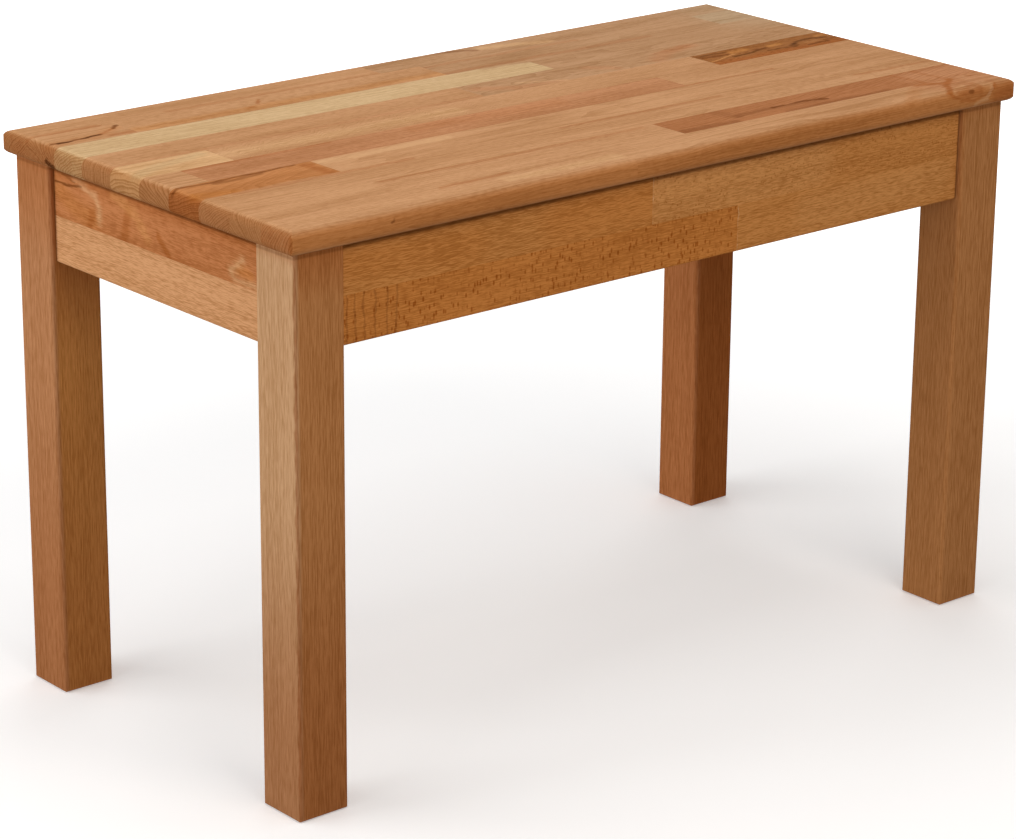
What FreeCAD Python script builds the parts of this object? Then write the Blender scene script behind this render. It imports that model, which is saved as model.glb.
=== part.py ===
import FreeCAD, Part
import math
import os

from FreeCAD import Placement, Rotation, Vector

# A solid beech bench: a board glued up from staves rests on four square legs and an apron frame.
# Millimetres, +Z up, origin on the floor under the middle of the board, front towards -Y.

# Overall sizes
BENCH_LENGTH = 750.0
BENCH_DEPTH = 375.0
BENCH_HEIGHT = 460.0

# Seat board, glued up in rows from back to front
BOARD_THICKNESS = 19.0
BOARD_OVERHANG = 7.0        # past the outer faces of the legs, on all four sides
BOARD_ROUND = 7.0           # round-over of the top and bottom edges
BOARD_CORNER_ROUND = 3.0    # upright corners
BOARD_TRIM = 2.5            # planed off the first and the last row when the panel is cut to size

# Butt joints of each row, back to front: from the left end, or from the right end where negative
SEAT_JOINTS = (
    (347.0,),
    (79.0, 387.0, -52.0),
    (-279.0,),
    (364.0,),
    (87.0, -160.0),
    (37.0, -232.0),
    (130.0,),
    (-227.0,),
    (130.0, -341.0),
    (328.0,),
)

# Legs
LEG_SIDE = 46.0
LEG_ROUND = 3.0             # upright edges
LEG_FOOT_ROUND = 2.0        # edges round the foot
BOLT_FLAT = 11.0            # width of the flat planed on the inner corner, where the bolt goes in

# Aprons, two rows of staves each
APRON_HEIGHT = 78.0
APRON_THICKNESS = 19.0
APRON_INSET = 5.0           # behind the outer faces of the legs
APRON_LOWER_ROW = 38.0      # height of the lower row
APRON_ROUND = 2.0           # lower edges
APRON_END_ROUND = 1.5       # upright edges of the outer face, beside the legs

# Butt joints of the long aprons, measured as on the board but from the legs' inner faces
FRONT_UPPER_JOINTS = (302.0,)
FRONT_LOWER_JOINTS = (-251.0,)
BACK_UPPER_JOINTS = (-270.0,)
BACK_LOWER_JOINTS = (215.0,)

# Groove along the inner face of every apron, and the buttons that hook into it
GROOVE_DROP = 12.0          # from the apron's top edge to the groove
GROOVE_WIDTH = 6.0
GROOVE_DEPTH = 8.0
BUTTON_WIDTH = 30.0         # along the apron
BUTTON_REACH = 32.0         # away from the apron
BUTTON_HEIGHT = 18.0
BUTTON_GAP = 2.0            # between the block and the apron, room for the board to shrink and swell
BUTTON_EASE = 1.0           # chamfer of the block's lower edges
TONGUE_PLAY = 0.5           # between the tongue and the groove's bottom and lower side
BUTTON_SPACING = 300.0      # between the two buttons of a long apron

# Folded steel brackets across the inner corners
BRACKET_STEEL = 2.5
BRACKET_HEIGHT = 48.0
BRACKET_RISE = 6.0          # above the apron's lower edge
BRACKET_STANDOFF = 10.0     # between the leg's inner corner and the bracket
FLANGE_LENGTH = 24.0
FLANGE_CORNER_ROUND = 4.0
FOLD_ROUND = 2.0            # inside of the folds

# Hanger bolts with washers and nuts
BOLT_DIAMETER = 8.0
BOLT_IN_LEG = 45.0
BOLT_TAIL = 5.0             # stands out of the nut
BOLT_POINT = 5.0            # length of the wood-screw point
BOLT_CHAMFER = 1.0
WASHER_DIAMETER = 24.0
WASHER_THICKNESS = 2.0
NUT_ACROSS_FLATS = 13.0
NUT_HEIGHT = 6.5
NUT_CHAMFER = 0.8

# Pan-head wood screws
SCREW_DIAMETER = 3.8
SCREW_HEAD_DIAMETER = 7.4
SCREW_HEAD_HEIGHT = 2.4
SCREW_RIM_HEIGHT = 0.6      # straight side of the head, below its crown
SCREW_POINT = 4.0
RECESS_WIDTH = 0.9
RECESS_SPAN = 3.8
RECESS_DEPTH = 1.3
BRACKET_SCREW_LENGTH = 16.0
BRACKET_SCREW_SPACING = 28.0
BUTTON_SCREW_LENGTH = 30.0

# Room round a fastener
DRILL_ROOM = 0.05           # in wood or in a nut, on the radius
STEEL_ROOM = 0.3            # in a hole through steel or through a button, on the radius

X_AXIS = Vector(1, 0, 0)
Y_AXIS = Vector(0, 1, 0)
Z_AXIS = Vector(0, 0, 1)

# Places that follow from the sizes above
board_underside = BENCH_HEIGHT - BOARD_THICKNESS
leg_outer_x = BENCH_LENGTH / 2 - BOARD_OVERHANG
leg_outer_y = BENCH_DEPTH / 2 - BOARD_OVERHANG
leg_inner_x = leg_outer_x - LEG_SIDE
leg_inner_y = leg_outer_y - LEG_SIDE
apron_bottom = board_underside - APRON_HEIGHT
apron_inner_depth = APRON_INSET + APRON_THICKNESS
groove_top = board_underside - GROOVE_DROP
bracket_bottom = apron_bottom + BRACKET_RISE
row_pitch = (BENCH_DEPTH + 2 * BOARD_TRIM) / len(SEAT_JOINTS)
bracket_middle = bracket_bottom + BRACKET_HEIGHT / 2

# Distances along the diagonal of a corner, from the leg's outer corner towards the bench's middle
leg_corner_reach = LEG_SIDE * math.sqrt(2)
bolt_flat_reach = leg_corner_reach - BOLT_FLAT / 2
bracket_reach = leg_corner_reach + BRACKET_STANDOFF
washer_reach = bracket_reach + BRACKET_STEEL
nut_reach = washer_reach + WASHER_THICKNESS
bolt_end_reach = nut_reach + NUT_HEIGHT + BOLT_TAIL

CORNERS = {
    "front_left": (-1, -1),
    "front_right": (1, -1),
    "back_left": (-1, 1),
    "back_right": (1, 1),
}


def box_between(low, high):
    """Box from its lowest to its highest corner."""
    size = high - low
    return Part.makeBox(size.x, size.y, size.z, low)


def round_edges(shape, axis, radius, chosen=lambda middle: True):
    """Rounds the straight edges along an axis whose middle point is chosen."""
    edges = []
    for edge in shape.Edges:
        direction = edge.tangentAt(edge.FirstParameter)
        if direction.cross(axis).Length < 1e-6 and chosen(edge.CenterOfMass):
            edges.append(edge)
    return shape.makeFillet(radius, edges)


def placed(shape, point, direction):
    """Copy of a shape made along +Z, with its origin at a point and its +Z turned to a direction."""
    copy = shape.copy()
    copy.Placement = Placement(point, Rotation(Z_AXIS, direction))
    return copy


def turned(outline):
    """Solid of revolution about Z from a closed outline of (radius, height) points."""
    points = [Vector(radius, 0, height) for radius, height in outline]
    face = Part.Face(Part.makePolygon(points + points[:1]))
    return face.revolve(Vector(), Z_AXIS, 360)


def cylinder(diameter, length, room=0.0):
    """Rod along +Z from the origin, or the hole for it where room is given."""
    return Part.makeCylinder(diameter / 2 + room, length)


def corner_point(along_x, along_y, height):
    """Point of the front left corner, measured in from the leg's two outer faces."""
    return Vector(along_x - leg_outer_x, along_y - leg_outer_y, height)


def diagonal_point(reach, height):
    """Point on the front left corner's diagonal."""
    side = reach / math.sqrt(2)
    return corner_point(side, side, height)


def at_corner(shape, signs):
    """A front left corner's shape, mirrored to the corner with these signs of x and y."""
    for sign, normal in zip(signs, (X_AXIS, Y_AXIS)):
        if sign > 0:
            shape = shape.mirror(Vector(), normal)
    return shape


def at_all_corners(shapes):
    return [at_corner(shape, signs) for shape in shapes for signs in CORNERS.values()]


def joints_along(joints, start, end):
    """Ends of the staves in one row, in order."""
    places = [start + joint if joint > 0 else end + joint for joint in joints]
    return [start] + places + [end]


def upright_prism(points, bottom, height):
    """Prism over a closed outline of plan points."""
    outline = [Vector(point.x, point.y, bottom) for point in points]
    face = Part.Face(Part.makePolygon(outline + outline[:1]))
    return face.extrude(Vector(0, 0, height))


def make_screw(length):
    """Pan-head screw along +Z, its head's seat at the origin, with a cross recess."""
    shank = SCREW_DIAMETER / 2
    head = SCREW_HEAD_DIAMETER / 2
    top = Vector(0, 0, -SCREW_HEAD_HEIGHT)
    rim = Vector(head, 0, -SCREW_RIM_HEIGHT)
    rise = SCREW_HEAD_HEIGHT - SCREW_RIM_HEIGHT
    crown_radius = (head ** 2 + rise ** 2) / (2 * rise)
    half_arc = math.asin(head / crown_radius) / 2
    drop = crown_radius * (1 - math.cos(half_arc))
    crown_middle = top + Vector(crown_radius * math.sin(half_arc), 0, drop)
    crown = Part.Arc(top, crown_middle, rim).toShape()
    side = Part.makePolygon([
        rim,
        Vector(head, 0, 0),
        Vector(shank, 0, 0),
        Vector(shank, 0, length - SCREW_POINT),
        Vector(0, 0, length),
        top,
    ])
    screw = Part.Face(Part.Wire([crown] + side.Edges)).revolve(Vector(), Z_AXIS, 360)
    arm = Vector(RECESS_SPAN / 2, RECESS_WIDTH / 2, 0)
    bottom = RECESS_DEPTH - SCREW_HEAD_HEIGHT
    recess = box_between(Vector(-arm.x, -arm.y, -SCREW_HEAD_HEIGHT), Vector(arm.x, arm.y, bottom))
    recess = recess.fuse(recess.rotated(Vector(), Z_AXIS, 90))
    return screw.cut(recess)


def screw_hole(length, room):
    return cylinder(SCREW_DIAMETER, length, room)


# Fasteners of the front left corner
inward = Vector(1, 1, 0).normalize()
bolt_radius = BOLT_DIAMETER / 2
bolt_start_reach = bolt_flat_reach - BOLT_IN_LEG
bolt_length = bolt_end_reach - bolt_start_reach
bolt_start = diagonal_point(bolt_start_reach, bracket_middle)
bolt_outline = [
    (0, 0),
    (bolt_radius, BOLT_POINT),
    (bolt_radius, bolt_length - BOLT_CHAMFER),
    (bolt_radius - BOLT_CHAMFER, bolt_length),
    (0, bolt_length),
]
hanger_bolt = placed(turned(bolt_outline), bolt_start, inward)
bolt_hole = placed(cylinder(BOLT_DIAMETER, bolt_length, DRILL_ROOM), bolt_start, inward)

washer = cylinder(WASHER_DIAMETER, WASHER_THICKNESS)
washer = washer.cut(cylinder(BOLT_DIAMETER, WASHER_THICKNESS, STEEL_ROOM))
washer = placed(washer, diagonal_point(washer_reach, bracket_middle), inward)


def make_nut():
    """Hexagon nut along +Z with both faces' corners turned off."""
    corner = NUT_ACROSS_FLATS / math.sqrt(3)
    flats = [Vector(corner, 0, 0)]
    for turn in range(1, 6):
        flats.append(Rotation(Z_AXIS, 60 * turn).multVec(flats[0]))
    hexagon = upright_prism(flats, 0, NUT_HEIGHT)
    face_radius = corner - NUT_CHAMFER * math.sqrt(3)
    barrel = turned([
        (0, 0),
        (face_radius, 0),
        (corner, NUT_CHAMFER),
        (corner, NUT_HEIGHT - NUT_CHAMFER),
        (face_radius, NUT_HEIGHT),
        (0, NUT_HEIGHT),
    ])
    return hexagon.common(barrel).cut(cylinder(BOLT_DIAMETER, NUT_HEIGHT, DRILL_ROOM))


nut = placed(make_nut(), diagonal_point(nut_reach, bracket_middle), inward)

# Bracket of the front left corner: a plate across the corner with a flange along each apron
bracket_sum = bracket_reach * math.sqrt(2)
plate_sum = (bracket_reach + BRACKET_STEEL) * math.sqrt(2)
flange_start = bracket_sum - apron_inner_depth
flange_end = flange_start + FLANGE_LENGTH
flange_face = apron_inner_depth + BRACKET_STEEL
bracket_half = [
    (flange_end, apron_inner_depth),
    (flange_end, flange_face),
    (plate_sum - flange_face, flange_face),
]
bracket_outline = bracket_half + [(y, x) for x, y in reversed(bracket_half)]
bracket_outline += [(apron_inner_depth, flange_start), (flange_start, apron_inner_depth)]
bracket = upright_prism(
    [corner_point(x, y, 0) for x, y in bracket_outline], bracket_bottom, BRACKET_HEIGHT
)


def beside(along_x, along_y):
    """Test for points above one plan point of the front left corner."""
    point = corner_point(along_x, along_y, 0)
    return lambda middle: math.hypot(middle.x - point.x, middle.y - point.y) < BRACKET_STEEL


flange_middle = (apron_inner_depth + flange_face) / 2
for order in (1, -1):
    outer_fold = (flange_start, apron_inner_depth)[::order]
    inner_fold = (plate_sum - flange_face, flange_face)[::order]
    flange_tip = (flange_end, flange_middle)[::order]
    across = (Y_AXIS, X_AXIS)[::order][0]
    bracket = round_edges(bracket, Z_AXIS, FOLD_ROUND + BRACKET_STEEL, beside(*outer_fold))
    bracket = round_edges(bracket, Z_AXIS, FOLD_ROUND, beside(*inner_fold))
    bracket = round_edges(bracket, across, FLANGE_CORNER_ROUND, beside(*flange_tip))
bracket = bracket.cut(placed(cylinder(BOLT_DIAMETER, bolt_length, STEEL_ROOM), bolt_start, inward))

screw_along = (plate_sum - flange_face + flange_end) / 2
bracket_screw = make_screw(BRACKET_SCREW_LENGTH)
bracket_screws = []
bracket_screw_holes = []
for side in (-1, 1):
    height = bracket_middle + side * BRACKET_SCREW_SPACING / 2
    seats = (
        (corner_point(screw_along, flange_face, height), -Y_AXIS),
        (corner_point(flange_face, screw_along, height), -X_AXIS),
    )
    for seat, direction in seats:
        steel_hole = screw_hole(BRACKET_SCREW_LENGTH, STEEL_ROOM)
        wood_hole = screw_hole(BRACKET_SCREW_LENGTH, DRILL_ROOM)
        bracket = bracket.cut(placed(steel_hole, seat, direction))
        bracket_screws.append(placed(bracket_screw, seat, direction))
        bracket_screw_holes.append(placed(wood_hole, seat, direction))

all_bracket_screw_holes = at_all_corners(bracket_screw_holes)

# Leg of the front left corner
leg_block = box_between(corner_point(0, 0, 0), corner_point(LEG_SIDE, LEG_SIDE, board_underside))
leg = round_edges(leg_block, Z_AXIS, LEG_ROUND)
for axis in (X_AXIS, Y_AXIS):
    foot = round_edges(leg_block, axis, LEG_FOOT_ROUND, lambda middle: middle.z < LEG_SIDE)
    leg = leg.common(foot)
flat_sum = bolt_flat_reach * math.sqrt(2)
past_leg = LEG_SIDE + BOLT_FLAT
flat_corner = [
    corner_point(past_leg, past_leg, 0),
    corner_point(flat_sum - past_leg, past_leg, 0),
    corner_point(past_leg, flat_sum - past_leg, 0),
]
leg = leg.cut(upright_prism(flat_corner, apron_bottom, APRON_HEIGHT))
leg = leg.cut(bolt_hole)


def make_button(screw_length):
    """Button along +X from an apron's inner face at x = 0, under the board, and its screw and hole."""
    half = BUTTON_WIDTH / 2
    block_end = BUTTON_GAP + BUTTON_REACH
    block_low = board_underside - BUTTON_HEIGHT
    block = box_between(Vector(BUTTON_GAP, -half, block_low), Vector(block_end, half, board_underside))
    lower_edges = [edge for edge in block.Edges if abs(edge.CenterOfMass.z - block_low) < BUTTON_EASE]
    block = block.makeChamfer(BUTTON_EASE, lower_edges)
    tongue = box_between(
        Vector(TONGUE_PLAY - GROOVE_DEPTH, -half, groove_top - GROOVE_WIDTH + TONGUE_PLAY),
        Vector(block_end / 2, half, groove_top),
    )
    seat = Vector((BUTTON_GAP + block_end) / 2, 0, block_low)
    button = block.fuse(tongue).removeSplitter()
    button = button.cut(placed(screw_hole(BUTTON_HEIGHT, STEEL_ROOM), seat, Z_AXIS))
    screw = placed(make_screw(screw_length), seat, Z_AXIS)
    hole = placed(screw_hole(screw_length, DRILL_ROOM), seat, Z_AXIS)
    return button, screw, hole


# Buttons along the aprons: a point on the apron's inner face, and the button's turn.
# Those of the short aprons stand beside the board's middle glue line, under one stave.
button_face_x = leg_outer_x - apron_inner_depth
button_face_y = leg_outer_y - apron_inner_depth
BUTTONS = {
    "front_left": (Vector(-BUTTON_SPACING / 2, -button_face_y, 0), 90),
    "front_right": (Vector(BUTTON_SPACING / 2, -button_face_y, 0), 90),
    "back_left": (Vector(-BUTTON_SPACING / 2, button_face_y, 0), -90),
    "back_right": (Vector(BUTTON_SPACING / 2, button_face_y, 0), -90),
    "left": (Vector(-button_face_x, row_pitch / 2, 0), 0),
    "right": (Vector(button_face_x, row_pitch / 2, 0), 180),
}
button_shapes = make_button(BUTTON_SCREW_LENGTH)
buttons = {}
button_screws = []
button_screw_holes = []
for name, (point, turn) in BUTTONS.items():
    button, screw, hole = (
        shape.rotated(Vector(), Z_AXIS, turn).translated(point) for shape in button_shapes
    )
    buttons[name] = button
    button_screws.append(screw)
    button_screw_holes.append(hole)


def make_board():
    """Seat board in one piece: rounded along each axis in turn, drilled for the buttons' screws."""
    high = Vector(BENCH_LENGTH / 2, BENCH_DEPTH / 2, BENCH_HEIGHT)
    block = box_between(Vector(-high.x, -high.y, board_underside), high)
    board = round_edges(block, Z_AXIS, BOARD_CORNER_ROUND)
    for axis in (X_AXIS, Y_AXIS):
        board = board.common(round_edges(block, axis, BOARD_ROUND))
    return board.cut(button_screw_holes)


def seat_staves():
    """The board's staves by name, rows counted from the back and letters from the left."""
    board = make_board()
    panel_back = BENCH_DEPTH / 2 + BOARD_TRIM
    staves = {}
    for row, joints in enumerate(SEAT_JOINTS):
        back = panel_back - row * row_pitch
        ends = joints_along(joints, -BENCH_LENGTH / 2, BENCH_LENGTH / 2)
        for letter, start, end in zip("abcdef", ends, ends[1:]):
            piece = box_between(
                Vector(start, back - row_pitch, board_underside), Vector(end, back, BENCH_HEIGHT)
            )
            staves[f"seat_row{row + 1}_stave_{letter}"] = board.common(piece)
    return staves


def make_apron(length):
    """Apron along X with its outer face towards -Y at y = 0, grooved inside, lower edges eased."""
    half = length / 2
    low = Vector(-half, 0, apron_bottom)
    block = box_between(low, Vector(half, APRON_THICKNESS, board_underside))
    middle_height = apron_bottom + APRON_HEIGHT / 2
    apron = round_edges(block, X_AXIS, APRON_ROUND, lambda middle: middle.z < middle_height)
    ends = round_edges(block, Z_AXIS, APRON_END_ROUND, lambda middle: middle.y < APRON_ROUND)
    groove = box_between(
        Vector(-half, APRON_THICKNESS - GROOVE_DEPTH, groove_top - GROOVE_WIDTH),
        Vector(half, APRON_THICKNESS, groove_top),
    )
    return apron.common(ends).cut(groove)


def apron_staves(name, length, turn, offset, upper_joints, lower_joints):
    """An apron's staves by name, turned and moved to their side of the bench and drilled."""
    apron = make_apron(length)
    half = length / 2
    split = apron_bottom + APRON_LOWER_ROW
    rows = (
        ("upper", upper_joints, split, board_underside),
        ("lower", lower_joints, apron_bottom, split),
    )
    staves = {}
    for row, joints, bottom, top in rows:
        ends = joints_along(joints, -half, half)
        for letter, start, end in zip("abcdef", ends, ends[1:]):
            piece = box_between(Vector(start, 0, bottom), Vector(end, APRON_THICKNESS, top))
            stave = apron.common(piece).rotated(Vector(), Z_AXIS, turn).translated(offset)
            suffix = f"_stave_{letter}" if joints else "_stave"
            staves[f"{name}_apron_{row}{suffix}"] = stave.cut(all_bracket_screw_holes)
    return staves


long_apron = 2 * leg_inner_x
short_apron = 2 * leg_inner_y
apron_face_x = leg_outer_x - APRON_INSET
apron_face_y = leg_outer_y - APRON_INSET

nodes = seat_staves()
nodes |= apron_staves(
    "front", long_apron, 0, Vector(0, -apron_face_y, 0), FRONT_UPPER_JOINTS, FRONT_LOWER_JOINTS
)
nodes |= apron_staves(
    "back", long_apron, 180, Vector(0, apron_face_y, 0), BACK_UPPER_JOINTS, BACK_LOWER_JOINTS
)
nodes |= apron_staves("left", short_apron, -90, Vector(-apron_face_x, 0, 0), (), ())
nodes |= apron_staves("right", short_apron, 90, Vector(apron_face_x, 0, 0), (), ())
for corner, signs in CORNERS.items():
    nodes[f"leg_{corner}"] = at_corner(leg, signs)
    nodes[f"corner_bracket_{corner}"] = at_corner(bracket, signs)
for place, button in buttons.items():
    nodes[f"seat_button_{place}"] = button
nodes["hanger_bolts"] = Part.makeCompound(at_all_corners([hanger_bolt]))
nodes["bolt_washers"] = Part.makeCompound(at_all_corners([washer]))
nodes["bolt_nuts"] = Part.makeCompound(at_all_corners([nut]))
nodes["bracket_screws"] = Part.makeCompound(at_all_corners(bracket_screws))
nodes["button_screws"] = Part.makeCompound(button_screws)

os.makedirs("parts", exist_ok=True)
for name, shape in nodes.items():
    shape.exportStep(f"parts/{name}.step")
    print(name, len(shape.Solids), shape.isValid(), round(shape.Volume, 1))
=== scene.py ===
"""Oiled beech bench: looks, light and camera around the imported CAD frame."""
import math
import random

import bpy
from mathutils import Matrix, Vector


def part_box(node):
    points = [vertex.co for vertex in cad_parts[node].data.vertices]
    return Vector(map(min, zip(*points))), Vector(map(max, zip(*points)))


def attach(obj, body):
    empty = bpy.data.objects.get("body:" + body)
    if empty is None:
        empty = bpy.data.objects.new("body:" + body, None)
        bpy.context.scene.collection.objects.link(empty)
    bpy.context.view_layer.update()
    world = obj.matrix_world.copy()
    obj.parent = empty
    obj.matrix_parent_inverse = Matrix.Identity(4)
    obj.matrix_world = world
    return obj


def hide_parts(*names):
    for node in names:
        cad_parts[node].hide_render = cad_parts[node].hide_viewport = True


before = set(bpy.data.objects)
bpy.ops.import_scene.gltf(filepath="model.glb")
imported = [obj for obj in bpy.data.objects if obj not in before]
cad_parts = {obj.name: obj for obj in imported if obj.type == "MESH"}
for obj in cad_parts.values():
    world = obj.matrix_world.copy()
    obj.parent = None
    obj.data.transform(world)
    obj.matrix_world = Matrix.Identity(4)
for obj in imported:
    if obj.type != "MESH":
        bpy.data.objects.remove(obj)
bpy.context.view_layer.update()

MM = 0.001

# Camera, worked out from the bench's edges in the photograph: metres and degrees.
PHOTO_WIDTH = 1016
SENSOR_WIDTH = 36.0
FOCAL_PIXELS = 3558.6
CAMERA_PLACE = (-1.80885, -2.12051, 1.15032)
CAMERA_YAW = 40.223
CAMERA_PITCH = -18.993
CAMERA_ROLL = 0.477


def linear(code):
    """Turns an sRGB hex colour into the linear colour that Blender's sockets take."""
    values = [int(code[i:i + 2], 16) / 255 for i in (1, 3, 5)]
    return [v / 12.92 if v <= 0.04045 else ((v + 0.055) / 1.055) ** 2.4 for v in values] + [1.0]


def add(tree, kind, *values, out=0, at=None, **settings):
    """Adds a node, makes its settings, sets or links its inputs, and gives back one output."""
    node = tree.nodes.new(kind)
    for setting, value in settings.items():
        setattr(node, setting, value)
    for socket, value in {**dict(enumerate(values)), **(at or {})}.items():
        if isinstance(value, bpy.types.NodeSocket):
            tree.links.new(value, node.inputs[socket])
        elif value is not None:
            node.inputs[socket].default_value = value
    return node.outputs[out] if len(node.outputs) else node


# Oiled beech. Sapwood is pale straw, heartwood runs from rose to russet brown, and oil warms both.
TONES = {
    "sapwood": "#CFAE82",
    "straw": "#D4A879",
    "wheat": "#CE9256",
    "sand": "#CA9466",
    "tan": "#C19065",
    "honey": "#C68648",
    "amber": "#C37D3D",
    "biscuit": "#B78C65",
    "blush": "#C1976F",
    "clay": "#B27C54",
    "ash": "#B99A77",
    "rose": "#BC845B",
    "redheart": "#B87648",
    "copper": "#BA7C4A",
    "cocoa": "#AD7248",
    "caramel": "#B57239",
    "russet": "#A5602F",
    "chestnut": "#B37A49",
    "cinnamon": "#A8683C",
    "umber": "#95552A",
    "gold": "#996234",
    "heart": "#74401C",
    "bark": "#4A2509",
}

BEECH_INPUTS = (
    ("Place", "Vector", (0, 0, 0)),
    ("Grain", "Vector", (1, 0, 0)),
    ("Tone", "Color", (1, 1, 1, 1)),
    ("Seed", "Float", 0),
    ("Pith", "Vector", (0, 0, -80)),
    ("Tilt", "Vector", (0, 0, 0)),
    ("Ring width", "Float", 2.4),
    ("Ring depth", "Float", 0.5),
    ("Warp", "Float", 3),
    ("Warp length", "Float", 160),
    ("Ripple", "Float", 0),
    ("Knot", "Vector", (0, 0, 10000)),
    ("Knot size", "Float", 5),
    ("Ray turn", "Float", 0),
    ("Pores", "Float", 1),
    ("Pore length", "Float", 8),
    ("Dashes", "Float", 0.28),
    ("Flakes", "Float", 0),
    ("Clouds", "Float", 1),
)


# Sizes in mm of the figure's parts: along the grain, then across it both ways.
RIPPLE_SIZE = (9, 45, 45)
FIBRE_SIZE = (60, 1.2, 1.2)
CLOUD_SIZE = (200, 22, 22)
PORE_WIDTH = 0.5
DASH_SIZE = (5.5, 6, 0.75)
FLAKE_SIZE = (3.2, 7, 1.7)
CLUSTER_SIZE = (45, 10, 10)

# How far apart in mm two seeds lie in the noise, and a knot's swerve, which is longer along the grain.
SEED_STEP = (173, 61, 97)
KNOT_SHAPE = (0.45, 1, 1)

# How much the palest and the darkest figure multiply the wood's tone, and what rays and end grain do to it.
PALE_GAIN = (1.13, 1.16, 1.22, 1)
DARK_GAIN = (0.83, 0.77, 0.68, 1)
RAY_TINT = "#D4BCA2"
END_TINT = "#D4C2AF"


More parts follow.
